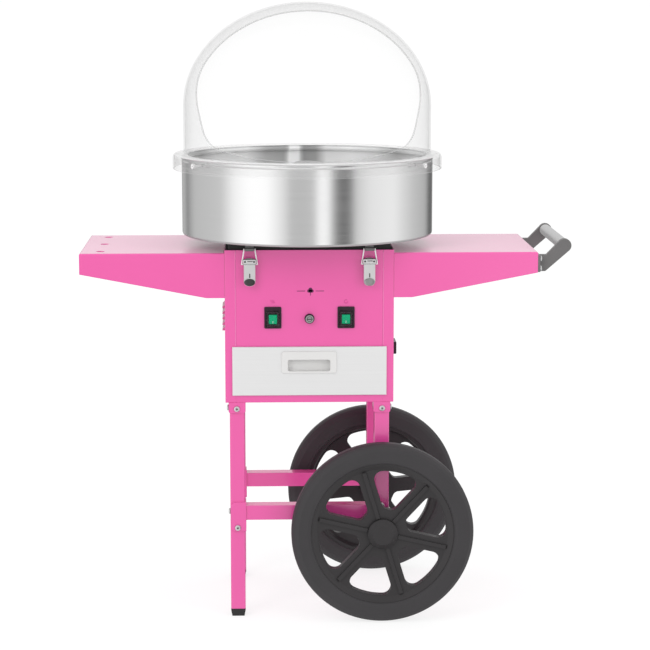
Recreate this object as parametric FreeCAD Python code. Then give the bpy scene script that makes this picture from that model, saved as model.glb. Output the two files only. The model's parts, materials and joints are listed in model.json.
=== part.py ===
import FreeCAD, Part
import math
import os

# Cotton candy machine on a two-wheeled cart. Millimetres, +Z up, front faces -Y.
# The origin is on the floor, under the middle of the overall bounding box.

V = FreeCAD.Vector
X, Y, Z = V(1, 0, 0), V(0, 1, 0), V(0, 0, 1)

# ---- driving sizes ---------------------------------------------------------------------------
cart_w = 342.0          # body, left to right
cart_d = 324.0          # body, front to back
base_z = 450.0          # underside of the body above the floor
rail_h = 15.0           # body rail below the drawer
drawer_h = 100.0
machine_h = 197.0       # machine panel above the drawer
skin = 2.0              # sheet thickness of the body and wings
post_w = 22.0           # folded corner posts

leg = 30.0              # square leg tube, outside
leg_wall = 2.0
leg_inset = 8.5         # side of the body to side of the leg
leg_set_back = 1.0      # front of the body to front of the leg
socket_h = 22.0
socket_t = 2.2
foot_h = 16.0
axle_leg_below = 36.0   # wheel-side legs end this far below the axle

bar_top = 234.5         # top of the cross bars above the floor
saddle_h = 61.0
saddle_over = 7.5       # saddle above the bar
saddle_t = 2.4

wheel_r = 186.0
rim_r = 145.5
wheel_w = 45.0
wheel_gap = 9.6         # from the leg's saddle to the tyre
axle_r = 8.0
run_gap = 0.08          # radial clearance of running fits
cap_r = 30.5
spokes = 6
spoke_w = 31.0
front_turn = -13.0      # spokes of the front wheel, turned from upright
back_turn = 6.0
window_in = 51.0        # inner radius of the openings between spokes
window_corner_in = 13.0
window_corner_out = 17.0

wing_len = 291.5
wing_drop = 6.0         # wing top below the body's top
wing_end_h = 42.0
wing_root_h = 91.0
wing_root_flat = 37.0
stick_hole_r = 8.75
stick_pitch = 125.0
stick_in = 40.5         # hole centres from the wing's end

handle_reach = 55.5     # wing end to grip centre
handle_rise = 11.0      # grip centre above the wing top
handle_arm_t = 14.0
handle_inset = 20.0
grip_r = 12.0
grip_wall = 2.5

bowl_r = 260.0
bowl_h = 164.5
bowl_gap = 16.5         # between body and bowl
mat_h = 11.0            # gasket plate on the body, with the bowl's seat ring on it
mat_edge = 7.0          # edge of the body to edge of the gasket plate
bowl_t = 1.5
bowl_corner = 6.0
bead_r = 6.0
bead_out = 1.0          # rolled rim stands out this far past the wall
neck_r = 45.0
neck_h = 6.0            # edge raised round the hole in the bowl's floor

dome_inset = 4.0        # dome wall inside the bowl's rim
dome_t = 3.0
dome_side = 96.0        # height of the straight side
dome_crown = 213.0
dome_face_y = -97.0     # flat front opening of the dome
collar_over = 18.5      # collar outside the bowl's rim
collar_h = 31.0
collar_t = 3.0

head_r = 70.0
head_lift = 89.5        # spinner head above the bowl's underside
head_h = 59.0
spindle_r = 8.0
motor_r = 46.0

latch_in = 50.5         # side of the body to latch centre
latch_pin_down = 22.0   # lever pin below the body's top
lever_w = 23.0
lever_h = 54.0
latch_off = 7.0         # lever pin in front of the panel
bail_arm = 5.0          # bail pivot, outwards and down from the lever pin
bail_r = 1.5
bail_hang = 13.0        # bail's bar below the bowl
keeper_w = 17.0

switch_x = 74.0
switch_down = 137.3     # switches below the body's top
pin_r = 2.0             # rocker's pivot
fuse_r = 10.0
fuse_down = 139.6
drawer_lap = 14.5       # body edge to drawer edge
drawer_gap = 0.3        # between the drawer's front and the body
inlet_y = -60.0

screw_r = 3.0
screw_head_r = 6.0
screw_head_h = 3.6
screw_gap = 0.2         # radial clearance of the screws' holes

# ---- sizes that follow -----------------------------------------------------------------------
half_w = cart_w / 2
half_d = cart_d / 2
drawer_low = base_z + rail_h
shelf_z = drawer_low + drawer_h
top_z = shelf_z + machine_h
open_x = half_w - post_w            # half width of the opening between the posts
leg_x = half_w - leg_inset - leg / 2
leg_y = half_d - leg_set_back - leg / 2
leg_face = leg_y + leg / 2          # outer face of the legs, front and back
axle_leg_end = wheel_r - axle_leg_below
saddle_high = bar_top + saddle_over
saddle_low = saddle_high - saddle_h
wheel_mid = leg_face + saddle_t + wheel_gap + wheel_w / 2
wing_z = top_z - wing_drop
stick_x = half_w + wing_len - stick_in
bowl_z = top_z + bowl_gap           # underside of the bowl
rim_z = bowl_z + bowl_h             # top of the rolled rim
dome_r = bowl_r - dome_inset
collar_r = bowl_r + collar_over
ledge_top = rim_z + collar_t
dome_side_top = ledge_top + dome_side
head_z = bowl_z + head_lift
head_top = head_z + head_h
latch_x = half_w - latch_in
latch_pin_z = top_z - latch_pin_down
bail_wire_z = bowl_z - bail_hang
switch_z = top_z - switch_down
fuse_z = top_z - fuse_down
drawer_w = cart_w - 2 * drawer_lap
end_x = half_w + wing_len
grip_x = end_x + handle_reach
reach_left = end_x
reach_right = grip_x + grip_r + 2.0
SHIFT = V(-(reach_right - reach_left) / 2, 0, 0)

parts = {}
screw_holes = []
screws = []


def box(x0, x1, y0, y1, z0, z1):
    return Part.makeBox(x1 - x0, y1 - y0, z1 - z0, V(x0, y0, z0))


def cbox(cx, cy, cz, dx, dy, dz):
    return box(cx - dx / 2, cx + dx / 2, cy - dy / 2, cy + dy / 2, cz - dz / 2, cz + dz / 2)


def rod(start, axis, r, length):
    return Part.makeCylinder(r, length, start, axis)


def ring(start, axis, r_in, r_out, length):
    return rod(start, axis, r_out, length).cut(rod(start, axis, r_in, length))


def prism(points, direction):
    wire = Part.makePolygon([V(*p) for p in points] + [V(*points[0])])
    return Part.Face(wire).extrude(direction)


def turned(profile):
    """Solid of revolution about Z from (radius, z) points."""
    wire = Part.makePolygon([V(r, 0, z) for r, z in profile + profile[:1]])
    return Part.Face(wire).revolve(V(0, 0, 0), Z, 360)


def fuse(*shapes):
    return shapes[0].multiFuse(list(shapes[1:])).removeSplitter()


def mirror_x(shape):
    return shape.mirror(V(0, 0, 0), X)


def mirror_y(shape):
    return shape.mirror(V(0, 0, 0), Y)


def round_edges(shape, r, keep):
    edges = [e for e in shape.Edges if keep(e)]
    return shape.makeFillet(r, edges)


def runs_along(edge, axis):
    if edge.Curve.TypeId != "Part::GeomLine":
        return False
    return abs(abs(edge.Curve.Direction.dot(axis)) - 1) < 1e-6


def compound(shapes):
    return Part.makeCompound(shapes)


def screw(point, inward, grip):
    """Button-head socket screw; its head stands on point, its shank runs inward."""
    head = rod(point, inward * -1, screw_head_r, screw_head_h)
    head = round_edges(head, 2.6, lambda e: e.Curve.TypeId == "Part::GeomCircle"
                       and (e.Curve.Center - point).Length > 1)
    recess = rod(point - inward * screw_head_h, inward, 2.2, 2.0)
    screws.append(fuse(head, rod(point, inward, screw_r, grip)).cut(recess))
    screw_holes.append(rod(point, inward, screw_r + screw_gap, grip + 0.5))


# ---- body sheets -----------------------------------------------------------------------------
def cart_side():
    """Left side sheet with its two folded corner posts and drawer ledge."""
    side = box(-half_w, -half_w + skin, -half_d, half_d, base_z, top_z)
    front = box(-half_w, -open_x, -half_d, -half_d + skin, base_z, top_z)
    back = mirror_y(front)
    side = fuse(side, front, back)
    side = round_edges(side, skin * 0.9, lambda e: runs_along(e, Z)
                       and abs(e.BoundBox.XMin + half_w) < 0.01)
    ledge_z = drawer_low + 3.5
    ledge = box(-half_w + skin, -open_x + 9, -half_d + skin + 2, half_d - skin - 2,
                ledge_z, ledge_z + 1.5)
    return fuse(side, ledge)


def louvres(shape):
    """Five pressed air louvres, open at the bottom."""
    slot = 70.0
    proud = 6.0
    for i in range(5):
        low = top_z - 174 + i * 11.5
        y0 = -slot / 2 - 60
        outer = prism([(-half_w, y0, low), (-half_w - proud, y0, low),
                       (-half_w - proud, y0, low + 2), (-half_w, y0, low + 8)], V(0, slot, 0))
        inner = prism([(-half_w + skin, y0 + 1, low - 1), (-half_w - proud + 1, y0 + 1, low - 1),
                       (-half_w - proud + 1, y0 + 1, low + 1.4), (-half_w, y0 + 1, low + 6.4),
                       (-half_w + skin, y0 + 1, low + 6.4)], V(0, slot - 2, 0))
        shape = shape.fuse(outer).cut(inner)
    return shape


def leg_socket(x, y):
    wide = leg + 2 * socket_t
    outer = cbox(x, y, base_z - socket_h / 2, wide, wide, socket_h)
    outer = outer.makeChamfer(3.0, [e for e in outer.Edges if runs_along(e, Y)
                                    and e.BoundBox.ZMax < base_z - 1])
    return outer.cut(cbox(x, y, base_z - socket_h / 2, leg, leg, socket_h))


parts["cart_side_left"] = louvres(cart_side())
parts["cart_side_right"] = mirror_x(cart_side())

floor = box(-half_w + skin, half_w - skin, -half_d + skin, half_d - skin, base_z, base_z + skin)
rail = box(-open_x, open_x, -half_d, -half_d + skin, base_z, drawer_low - 0.5)
sockets = [leg_socket(sx * leg_x, sy * leg_y) for sx in (-1, 1) for sy in (-1, 1)]
parts["cart_floor"] = fuse(floor, rail, *sockets)

parts["cart_back_panel"] = box(-open_x, open_x, half_d - skin, half_d, base_z, shelf_z - skin)
parts["cart_shelf"] = fuse(
    box(-half_w + skin, half_w - skin, -half_d + skin, half_d - skin, shelf_z - skin, shelf_z),
    box(-open_x, open_x, -half_d, half_d, shelf_z - skin, shelf_z))

# ---- legs, feet, cross bars ------------------------------------------------------------------
def leg_tube(x, y, low):
    tube = cbox(x, y, (low + base_z) / 2, leg, leg, base_z - low)
    tube = round_edges(tube, 2.5, lambda e: runs_along(e, Z))
    inner = leg - 2 * leg_wall
    return tube.cut(cbox(x, y, (low + base_z) / 2, inner, inner, base_z - low + 2))


def leg_foot(x, y):
    """Moulded foot: tapered pad below, plug inside the tube."""
    def square(side, z):
        h = side / 2
        return Part.makePolygon([V(x - h, y - h, z), V(x + h, y - h, z), V(x + h, y + h, z),
                                 V(x - h, y + h, z), V(x - h, y - h, z)])
    pad = Part.makeLoft([square(leg - 5, 0), square(leg, foot_h - 3)], True)
    lip = cbox(x, y, foot_h - 1.5, leg, leg, 3.0)
    plug = cbox(x, y, foot_h + 10, leg - 2 * leg_wall - 0.4, leg - 2 * leg_wall - 0.4, 20.0)
    return fuse(pad, lip, plug)


def crossbar():
    """Front bar: square tube with a channel saddle welded on each end to hold a leg."""
    inner_x = leg_x - leg / 2
    bar = cbox(0, -leg_y, bar_top - leg / 2, 2 * (inner_x - saddle_t), leg, leg)
    bar = bar.cut(cbox(0, -leg_y, bar_top - leg / 2, 2 * inner_x, leg - 4, leg - 4))
    out = leg / 2 + saddle_t
    channel = box(-leg_x - leg / 2 + 1.5, -inner_x + saddle_t, -leg_y - out, -leg_y + out,
                  saddle_low, saddle_high)
    channel = channel.makeChamfer(5.0, [e for e in channel.Edges if runs_along(e, Y)
                                        and e.BoundBox.XMax < -leg_x])
    channel = channel.cut(box(-leg_x - leg / 2, -inner_x, -leg_y - leg / 2, -leg_y + leg / 2,
                              saddle_low - 1, saddle_high + 1))
    return fuse(bar, channel, mirror_x(channel))


axle_line = rod(V(leg_x, -wheel_mid - wheel_w, wheel_r), Y, axle_r, 2 * (wheel_mid + wheel_w))

parts["leg_front_left"] = leg_tube(-leg_x, -leg_y, foot_h)
parts["leg_back_left"] = leg_tube(-leg_x, leg_y, foot_h)
parts["leg_front_right"] = leg_tube(leg_x, -leg_y, axle_leg_end).cut(axle_line)
parts["leg_back_right"] = leg_tube(leg_x, leg_y, axle_leg_end).cut(axle_line)
parts["feet"] = compound([leg_foot(-leg_x, -leg_y), leg_foot(-leg_x, leg_y)])
parts["crossbar_front"] = crossbar().cut(axle_line)
parts["crossbar_back"] = mirror_y(crossbar()).cut(axle_line)

# ---- wheels ----------------------------------------------------------------------------------
hub_r = 26.0
hub_in = -(wheel_gap + wheel_w / 2) + 2.3       # hub's inner end, just clear of the washer
hub_out = wheel_w / 2 - 8.0
axle_tip = hub_out + 9.0


def place_wheel(shape, s, turn):
    """Stands a wheel piece, built about Z with its outer side up, on the axle; s is -1 in front."""
    placed = shape.copy()
    placed.rotate(V(0, 0, 0), X, -90 * s)
    if s > 0:
        placed = placed.mirror(V(0, 0, 0), X)
    placed.rotate(V(0, 0, 0), Y, -turn)
    placed.translate(V(leg_x, s * wheel_mid, wheel_r))
    return placed


def spoke_bar(width, r0, r1, z0, z1, turn):
    bar = box(r0, r1, -width / 2, width / 2, z0, z1)
    bar.rotate(V(0, 0, 0), Z, turn)
    return bar


def wheel_rim():
    """Moulded wheel: hub, six-spoke web with raised ribs, and the rim that carries the tyre."""
    web_out = 12.5
    open_out = rim_r - 12.5
    bore = axle_r + run_gap
    half = wheel_w / 2
    body = turned([(bore, hub_in), (hub_r, hub_in), (hub_r, -6), (open_out, -6),
                   (rim_r - 7, -half + 4.5), (rim_r, -half + 4.5), (rim_r, half - 3.5),
                   (rim_r - 2, half - 3), (open_out, web_out), (bore, web_out)])
    body = body.fuse(ring(V(0, 0, web_out - 1), Z, bore, hub_r + 3, hub_out - web_out + 1))
    windows = ring(V(0, 0, -30), Z, window_in, open_out - 3, 60)
    for k in range(spokes):
        windows = windows.cut(spoke_bar(spoke_w, 0, rim_r, -31, 31, k * 360 / spokes))
    middle_r = (window_in + open_out) / 2

    def corner(edge, outer):
        at = edge.BoundBox.Center
        return runs_along(edge, Z) and (math.hypot(at.x, at.y) > middle_r) == outer

    windows = round_edges(windows, window_corner_out, lambda e: corner(e, True))
    windows = round_edges(windows, window_corner_in, lambda e: corner(e, False))
    body = body.cut(windows)
    for k in range(spokes):
        rib = spoke_bar(8, cap_r + 1, open_out - 1, web_out - 1, web_out + 3.5,
                        k * 360 / spokes)
        body = body.fuse(rib)
    return body.removeSplitter()


def wheel_tyre():
    w = wheel_w / 2
    side = [(rim_r, w - 3.5), (rim_r + 2.5, w - 1.2), (rim_r + 8, w), (wheel_r - 15, w - 0.5),
            (wheel_r - 8, w - 3), (wheel_r - 3, w - 8), (wheel_r, w - 15)]
    return turned(side + [(r, -z) for r, z in reversed(side)])


def wheel_cap():
    """Hub cap with a flat nose, hollow over the end of the axle."""
    base = hub_out
    hollow = axle_r + 4
    return turned([(hollow, base), (cap_r - 2, base), (cap_r, base + 2), (cap_r, base + 6),
                   (20.0, base + 16), (0, base + 16), (0, base + 12), (hollow, base + 12)])


for s, name, turn in ((-1, "front", front_turn), (1, "back", back_turn)):
    parts["wheel_%s_rim" % name] = place_wheel(wheel_rim(), s, turn)
    parts["wheel_%s_tyre" % name] = place_wheel(wheel_tyre(), s, turn)
    parts["wheel_%s_cap" % name] = place_wheel(wheel_cap(), s, turn)

axle_half = wheel_mid + axle_tip
parts["axle"] = rod(V(leg_x, -axle_half, wheel_r), Y, axle_r, 2 * axle_half)
washer_y = leg_face + saddle_t
parts["axle_washers"] = compound([
    ring(V(leg_x, s * washer_y, wheel_r), Y * s, axle_r, 17.0, 2.0) for s in (-1, 1)])

# ---- wings and handle ------------------------------------------------------------------------
def wing():
    """Left wing: folded tray with tapered front and back flanges, open below."""
    x0, x1 = -half_w - wing_len, -half_w
    outline = [(x0, 0, wing_z), (x1, 0, wing_z), (x1, 0, wing_z - wing_root_h),
               (x1 - wing_root_flat, 0, wing_z - wing_root_h), (x0, 0, wing_z - wing_end_h)]
    solid = prism([(x, -half_d, z) for x, y, z in outline], V(0, cart_d, 0))
    solid = round_edges(solid, 3.0, lambda e: e.BoundBox.ZMin > wing_z - 0.01
                        and e.BoundBox.XMin < x1 - 1)
    hollow = box(x0 + skin, x1 - skin, -half_d + skin, half_d - skin,
                 wing_z - wing_root_h - 1, wing_z - skin)
    return solid.cut(hollow)


left = wing()
for k in (-1, 0, 1):
    left = left.cut(rod(V(-stick_x, k * stick_pitch, wing_z - 10), Z, stick_hole_r, 20))
inside = box(-end_x + skin, -half_w - skin, -half_d + skin, half_d - skin, wing_z - skin, wing_z)
parts["wing_left"] = left.common(inside)
parts["wing_left_skirt"] = left.cut(inside)
parts["wing_right"] = mirror_x(wing())

grip_z = wing_z + handle_rise
arm_y = half_d - handle_inset
arm_low = wing_z - wing_end_h - 1


def handle_arm(s):
    """Moulded arm: foot on the wing's end, then rising to the grip."""
    tip = grip_r + 2
    y0 = s * arm_y - handle_arm_t / 2
    profile = [(end_x, y0, arm_low + 2), (end_x + 17, y0, arm_low + 2),
               (grip_x + tip * 0.62, y0, grip_z - tip * 0.78),
               (grip_x - tip * 0.62, y0, grip_z + tip * 0.78),
               (end_x + 19, y0, arm_low + 36), (end_x, y0, arm_low + 36)]
    arm = prism(profile, V(0, handle_arm_t, 0))
    arm = arm.fuse(rod(V(grip_x, y0, grip_z), Y, tip, handle_arm_t)).removeSplitter()
    arm = round_edges(arm, 2.0, lambda e: e.BoundBox.YMax - e.BoundBox.YMin < 0.01
                      and e.BoundBox.XMax > end_x + 1)
    foot = cbox(end_x + 2.5, s * arm_y, arm_low + 19, 5, 40, 34)
    spigot = rod(V(grip_x, s * arm_y, grip_z), Y * -s, grip_r - grip_wall, handle_arm_t / 2 + 12)
    return fuse(arm, foot, spigot)


parts["handle_arm_front"] = handle_arm(-1)
parts["handle_arm_back"] = handle_arm(1)
grip_half = arm_y - handle_arm_t / 2
parts["handle_grip"] = ring(V(grip_x, -grip_half, grip_z), Y, grip_r - grip_wall, grip_r, 2 * grip_half)

# ---- drawer ----------------------------------------------------------------------------------
front_y = -half_d - drawer_gap
drawer_back = half_d - 12.0
box_low = drawer_low + 5.3
box_high = shelf_z - 13.0
box_x = open_x - 3.0
wall = 1.5
tray = box(-box_x, box_x, front_y, drawer_back, box_low, box_high)
tray = tray.cut(box(-box_x + wall, box_x - wall, front_y - 1, drawer_back - wall,
                    box_low + wall, box_high + 1))
parts["drawer_box"] = tray

pull_x, pull_w = -1.0, 112.0
pull_low, pull_high = drawer_low + 45.8, drawer_low + 90.8
panel_t = 4.0
panel = box(-drawer_w / 2, drawer_w / 2, front_y - panel_t, front_y, drawer_low, shelf_z)
panel = round_edges(panel, 1.5, lambda e: e.BoundBox.YMax < front_y - panel_t + 0.01)
cup = box(pull_x - 48, pull_x + 48, front_y - 6, front_y + 9, pull_low + 2, pull_high - 8)
parts["drawer_front"] = panel.cut(cup)

frame_y = front_y - panel_t
pull = box(pull_x - pull_w / 2, pull_x + pull_w / 2, frame_y - 2.5, frame_y, pull_low, pull_high)
pull = round_edges(pull, 5.0, lambda e: runs_along(e, Y))
pull = pull.makeFillet(1.2, [e for e in pull.Edges if e.BoundBox.YMax < frame_y - 2.49])
pull = pull.fuse(box(pull_x - 48, pull_x + 48, frame_y, front_y + 8, pull_low + 2, pull_high - 8))
recess = box(pull_x - 43, pull_x + 43, frame_y - 5, front_y + 6, pull_low + 4.2, pull_low + 28)
recess = round_edges(recess, 4.0, lambda e: runs_along(e, Y))
lip_space = box(pull_x - 43, pull_x + 43, frame_y + 2, front_y + 6, pull_low + 26, pull_high - 11)
parts["drawer_pull"] = pull.cut(recess).cut(lip_space).removeSplitter()

# ---- machine case and drive ------------------------------------------------------------------
case_x = open_x - 0.3
case = fuse(
    box(-case_x, case_x, -half_d, -half_d + skin, shelf_z, top_z),
    box(-case_x, case_x, half_d - skin, half_d, shelf_z, top_z),
    box(-case_x, case_x, -half_d, half_d, shelf_z, shelf_z + skin))
deck_x, deck_y = half_w - skin, half_d - skin
deck = fuse(
    box(-deck_x, deck_x, -deck_y, deck_y, top_z - skin, top_z),
    box(-deck_x, deck_x, -deck_y, -deck_y + 1.5, top_z - 14, top_z - skin),
    box(-deck_x, deck_x, deck_y - 1.5, deck_y, top_z - 14, top_z - skin))
deck = deck.cut(rod(V(0, 0, top_z - 20), Z, 30.0, 40))
parts["machine_deck"] = deck

motor_top = top_z - skin
motor = turned([(0, motor_top - 122), (20, motor_top - 122), (motor_r - 2, motor_top - 116),
                (motor_r, motor_top - 112), (motor_r, motor_top - 18),
                (motor_r - 4, motor_top - 12), (motor_r - 4, motor_top - 5),
                (motor_r + 10, motor_top - 5), (motor_r + 10, motor_top), (29.5, motor_top),
                (29.5, motor_top + skin), (0, motor_top + skin)])
spindle_low = motor_top - 60
motor = motor.cut(rod(V(0, 0, spindle_low - 2), Z, spindle_r + run_gap, 80))
parts["motor"] = motor

ring_r = spindle_r + 6
block_top = top_z + 44
parts["brush_block"] = turned([(ring_r + 1, top_z), (34, top_z), (34, block_top - 8),
                               (26, block_top), (ring_r + 1, block_top)])
parts["spindle"] = fuse(
    rod(V(0, 0, spindle_low), Z, spindle_r, head_z + 22 - spindle_low),
    rod(V(0, 0, top_z + 8), Z, ring_r, 9),
    rod(V(0, 0, top_z + 24), Z, ring_r, 9))

# ---- spinner head ----------------------------------------------------------------------------
gap_low = head_z + 34
parts["spinner_base"] = turned([
    (spindle_r, head_z), (head_r - 8, head_z), (head_r, head_z + 6), (head_r, head_z + 12),
    (head_r - 3, head_z + 12), (head_r - 3, head_z + 8), (head_r - 9, head_z + 4),
    (20, head_z + 4), (16, head_z + 22), (spindle_r, head_z + 22)])


def ribbon():
    """Pleated heater band standing in the base."""
    pleats = 60
    r_out, r_in, t = head_r - 10, head_r - 15, 0.8
    outer, inner = [], []
    for k in range(2 * pleats):
        a = math.pi * k / pleats
        r = r_out if k % 2 else r_in
        outer.append(V(r * math.cos(a), r * math.sin(a), 0))
        inner.append(V((r - t) * math.cos(a), (r - t) * math.sin(a), 0))
    rim = Part.Face([Part.makePolygon(outer + outer[:1]), Part.makePolygon(inner + inner[:1])])
    band = rim.extrude(V(0, 0, gap_low - head_z - 4))
    band.translate(V(0, 0, head_z + 4))
    return band


parts["heater_ribbon"] = ribbon()
parts["spinner_cover"] = turned([
    (24, head_top), (18, head_top - 3), (18, head_top - 8), (30, head_top - 11),
    (head_r - 20, gap_low + 2), (head_r - 20, gap_low), (head_r - 4, gap_low),
    (head_r, gap_low + 3), (head_r, gap_low + 9), (head_r - 3, gap_low + 12),
    (34, head_top - 5)])

# ---- bowl ------------------------------------------------------------------------------------
def arc_points(cx, cz, r, a0, a1, n):
    steps = [a0 + (a1 - a0) * i / n for i in range(n + 1)]
    return [(cx + r * math.cos(math.radians(a)), cz + r * math.sin(math.radians(a)))
            for a in steps]


def bowl_shape():
    """Straight-sided steel pan with a rolled rim and a raised collar round the spindle."""
    corner = bowl_corner
    bead_x, bead_z = bowl_r + bead_out - bead_r, rim_z - bead_r
    outer = [(neck_r, bowl_z), (bowl_r - corner, bowl_z)]
    outer += arc_points(bowl_r - corner, bowl_z + corner, corner, -90, 0, 8)[1:]
    outer += [(bowl_r, bead_z - bead_r)]
    bead = arc_points(bead_x, bead_z, bead_r, -45, 240, 19)
    inner = [(bowl_r - bowl_t, bead_z - bead_r)]
    inner += arc_points(bowl_r - corner, bowl_z + corner, corner - bowl_t, 0, -90, 8)
    inner += [(neck_r + bowl_t, bowl_z + bowl_t), (neck_r + bowl_t, bowl_z + neck_h),
              (neck_r, bowl_z + neck_h)]
    return turned(outer + bead + inner)


parts["bowl"] = bowl_shape()
mat = box(mat_edge - half_w, half_w - mat_edge, mat_edge - half_d, half_d - mat_edge,
          top_z, top_z + mat_h)
mat = round_edges(mat, 4.0, lambda e: runs_along(e, Z)).cut(rod(V(0, 0, top_z - 1), Z, 40.0, mat_h + 2))
parts["bowl_gasket"] = fuse(mat, ring(V(0, 0, top_z), Z, half_d - 30, half_d - 10, bowl_gap))

# ---- latches ---------------------------------------------------------------------------------
panel_y = -half_d
pin_y = panel_y - latch_off
bail_y = pin_y - bail_arm
bail_z = latch_pin_z - bail_arm
keeper_back = bail_y + 2.0
keeper_low = bail_wire_z - 3.5


def keeper(cx):
    """J-shaped keeper welded under the bowl."""
    profile = [(cx - keeper_w / 2, keeper_back + 1.5, bowl_z),
               (cx - keeper_w / 2, keeper_back, bowl_z),
               (cx - keeper_w / 2, keeper_back, keeper_low + 1.5),
               (cx - keeper_w / 2, bail_y - 4.4, keeper_low + 1.5),
               (cx - keeper_w / 2, bail_y - 4.4, keeper_low + 5),
               (cx - keeper_w / 2, bail_y - 5.9, keeper_low + 5),
               (cx - keeper_w / 2, bail_y - 5.9, keeper_low),
               (cx - keeper_w / 2, keeper_back + 1.5, keeper_low)]
    return prism(profile, V(keeper_w, 0, 0))


def latch_base(cx):
    plate = box(cx - 9, cx + 9, panel_y - 1.5, panel_y, latch_pin_z - 46, latch_pin_z + 6)
    plate = round_edges(plate, 4.0, lambda e: runs_along(e, Y))
    shapes = [plate, rod(V(cx - lever_w / 2, pin_y, latch_pin_z), X, 2.0, lever_w)]
    for x0 in (cx - 8.5, cx + 7):
        shapes.append(rod(V(x0, pin_y, latch_pin_z), X, 5.0, 1.5))
        shapes.append(box(x0, x0 + 1.5, pin_y, panel_y - 1.5, latch_pin_z - 5, latch_pin_z + 5))
    return fuse(*shapes)


def latch_lever(cx):
    """Pressed lever: rounded cover plate with two pivot cheeks."""
    face = pin_y - 7.0
    plate = box(cx - lever_w / 2, cx + lever_w / 2, face - 1.5, face,
                latch_pin_z + 5 - lever_h, latch_pin_z + 5)
    plate = plate.makeFillet(9.0, [e for e in plate.Edges if runs_along(e, Y)
                                   and e.BoundBox.ZMax < latch_pin_z])
    shapes = [plate]
    for x0 in (cx - lever_w / 2, cx + lever_w / 2 - 1.5):
        shapes.append(box(x0, x0 + 1.5, face, pin_y + 3, latch_pin_z - 12, latch_pin_z + 5))
    lever = fuse(*shapes)
    lever = lever.cut(rod(V(cx - lever_w, pin_y, latch_pin_z), X, 2.0 + run_gap, 2 * lever_w))
    return lever.cut(rod(V(cx - lever_w, bail_y, bail_z), X, bail_r + run_gap, 2 * lever_w))


def latch_bail(cx):
    """Bent wire: two inward ends in the lever, tapering up to the bar over the keeper."""
    wide, narrow = lever_w / 2 + 4.0, keeper_w / 2 + bail_r + 0.8
    tips = [V(cx - wide + 5.0, bail_y, bail_z), V(cx + wide - 5.0, bail_y, bail_z)]
    low = [V(cx - wide, bail_y, bail_z), V(cx + wide, bail_y, bail_z)]
    high = [V(cx - narrow, bail_y, bail_wire_z), V(cx + narrow, bail_y, bail_wire_z)]
    path = [tips[0], low[0], high[0], high[1], low[1], tips[1]]
    shapes = []
    for a, b in zip(path[:-1], path[1:]):
        shapes.append(rod(a, b - a, bail_r, (b - a).Length))
    for p in path[1:-1]:
        shapes.append(Part.makeSphere(bail_r, p))
    return fuse(*shapes)


parts["bowl_keepers"] = compound([
    keeper(-latch_x), keeper(latch_x), mirror_y(keeper(-latch_x)), mirror_y(keeper(latch_x))])
for name, cx in (("left", -latch_x), ("right", latch_x)):
    parts["latch_%s_base" % name] = latch_base(cx)
    parts["latch_%s_lever" % name] = latch_lever(cx)
    parts["latch_%s_bail" % name] = latch_bail(cx)


def back_clip(cx):
    """Fixed clip on the back panel; its lip lies over the keeper's bar."""
    y0 = half_d
    post = box(cx - 8, cx + 8, y0, y0 + 1.5, latch_pin_z - 30, keeper_low - 6)
    foot = box(cx - 8, cx + 8, y0, -bail_y + 8, keeper_low - 7.5, keeper_low - 6)
    rise = box(cx - 8, cx + 8, -bail_y + 6.5, -bail_y + 8, keeper_low - 6, keeper_low + 8)
    lip = box(cx - 8, cx + 8, -bail_y - 1, -bail_y + 8, keeper_low + 8, keeper_low + 9.5)
    catch = box(cx - 8, cx + 8, -bail_y - 1, -bail_y + 0.5, keeper_low + 3, keeper_low + 8)
    return fuse(post, foot, rise, lip, catch)


parts["back_clips"] = compound([back_clip(-latch_x), back_clip(latch_x)])

# ---- dome ------------------------------------------------------------------------------------
def smooth_solid(r, crown):
    """Cylinder with an elliptical crown."""
    side = Part.makeLine(V(r, 0, ledge_top), V(r, 0, dome_side_top))
    curve = Part.Ellipse(V(r, 0, dome_side_top), V(0, 0, dome_side_top + crown),
                         V(0, 0, dome_side_top))
    arc = Part.ArcOfEllipse(curve, 0, math.pi / 2).toShape()
    close = [Part.makeLine(V(0, 0, dome_side_top + crown), V(0, 0, ledge_top)),
             Part.makeLine(V(0, 0, ledge_top), V(r, 0, ledge_top))]
    wire = Part.Wire([side, arc] + close)
    return Part.Face(wire).revolve(V(0, 0, 0), Z, 360)


def dome_mouth():
    """What is taken out at the front: flat face above, sloping forward to a low lip."""
    crest = dome_side_top + dome_crown + 20
    bend_z = dome_side_top + 69
    knee_y, knee_z = dome_face_y - 54, rim_z + 30
    lip_y = -dome_r + 5
    outer = -dome_r - 40
    solid = prism([(-dome_r * 1.2, dome_face_y, crest), (-dome_r * 1.2, dome_face_y, bend_z),
                   (-dome_r * 1.2, knee_y, knee_z), (-dome_r * 1.2, lip_y, ledge_top),
                   (-dome_r * 1.2, outer, ledge_top - 9), (-dome_r * 1.2, outer, crest)],
                  V(dome_r * 2.4, 0, 0))

    def near(edge, y, z):
        b = edge.BoundBox
        return runs_along(edge, X) and abs(b.YMin - y) < 0.1 and abs(b.ZMin - z) < 0.1
    solid = solid.makeFillet(65.0, [e for e in solid.Edges if near(e, knee_y, knee_z)])
    return solid.makeFillet(120.0, [e for e in solid.Edges if near(e, dome_face_y, bend_z)])


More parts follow.
